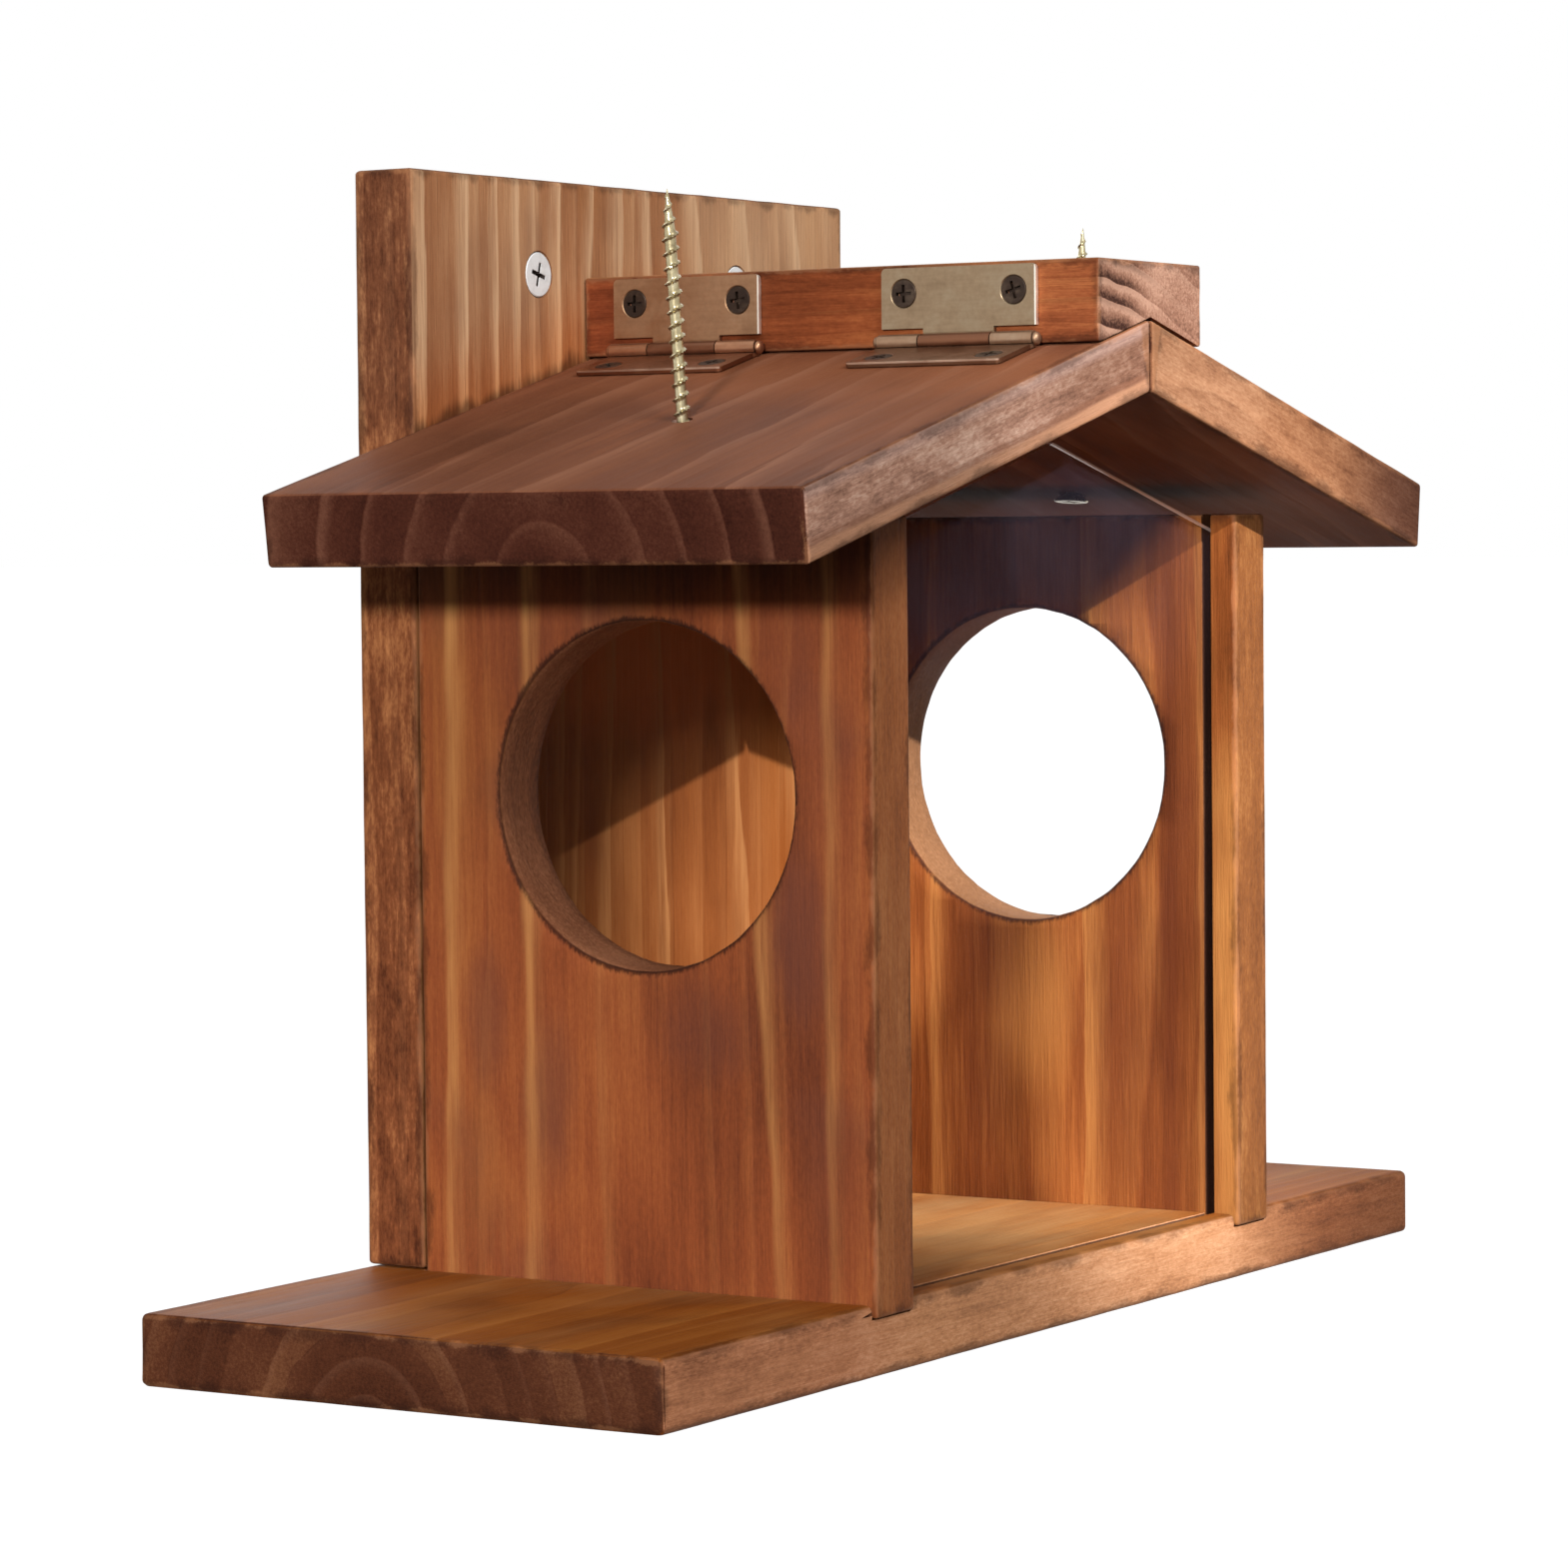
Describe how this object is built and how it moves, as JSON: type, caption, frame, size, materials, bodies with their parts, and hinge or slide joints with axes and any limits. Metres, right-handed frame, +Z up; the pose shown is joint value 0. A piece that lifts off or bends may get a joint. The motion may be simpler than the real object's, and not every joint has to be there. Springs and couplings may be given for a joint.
{
  "type": "squirrel house",
  "caption": "Wooden squirrel feeding house with a round entrance in each side wall, a clear front, landing boards, a hinged roof lid and corn cob screws.",
  "frame": {"origin": "on the ground, under the middle of the outer box", "axes": "+X to the right as seen from the front and along the base board, +Y towards the back board, +Z up"},
  "size_m": [0.336, 0.1456, 0.251],
  "materials": {
    "base_wood": "torched and stained, satin",
    "wall_wood": "torched and stained, satin",
    "back_wood": "torched and stained, satin",
    "roof_wood": "torched and stained, satin",
    "beam_wood": "torched and stained, satin",
    "clear_plastic": "clear, gloss",
    "hinge_steel": "antique bronze plating",
    "dark_steel": "dark bronze plating",
    "yellow_zinc": "yellow zinc plating",
    "white_paint": "white, satin"
  },
  "bodies": {
    "house": {"base_board": "base_wood", "back_board": "back_wood", "left_wall": "wall_wood", "right_wall": "wall_wood", "front_window": "clear_plastic", "right_roof_panel": "roof_wood", "ridge_beam": "beam_wood", "rear_hinge_beam_leaf": "hinge_steel", "rear_hinge_beam_screw_1": "dark_steel", "rear_hinge_beam_screw_2": "dark_steel", "front_hinge_beam_leaf": "hinge_steel", "front_hinge_beam_screw_1": "dark_steel", "front_hinge_beam_screw_2": "dark_steel", "right_cob_screw": "yellow_zinc", "left_mount_screw": "white_paint", "right_mount_screw": "white_paint", "left_wall_front_base_screw": "yellow_zinc", "left_wall_rear_base_screw": "yellow_zinc", "right_wall_front_base_screw": "yellow_zinc", "right_wall_rear_base_screw": "yellow_zinc", "left_wall_lower_back_screw": "yellow_zinc", "left_wall_upper_back_screw": "yellow_zinc", "right_wall_lower_back_screw": "yellow_zinc", "right_wall_upper_back_screw": "yellow_zinc", "back_board_left_base_screw": "yellow_zinc", "back_board_right_base_screw": "yellow_zinc", "beam_left_back_screw": "yellow_zinc", "beam_right_back_screw": "yellow_zinc", "roof_panel_inner_back_screw": "yellow_zinc", "roof_panel_outer_back_screw": "yellow_zinc"},
    "lid": {"left_roof_lid": "roof_wood", "rear_hinge_lid_leaf": "hinge_steel", "rear_hinge_lid_screw_1": "dark_steel", "rear_hinge_lid_screw_2": "dark_steel", "rear_hinge_pin": "hinge_steel", "front_hinge_lid_leaf": "hinge_steel", "front_hinge_lid_screw_1": "dark_steel", "front_hinge_lid_screw_2": "dark_steel", "front_hinge_pin": "hinge_steel", "left_cob_screw": "yellow_zinc"}
  },
  "joints": [
    {"name": "lid_hinge", "type": "hinge", "parent": "house", "child": "lid", "pos_m": [-0.02555, -0.00775, 0.21314], "axis": [0, 1, 0], "range_deg": [0, 105]}
  ]
}
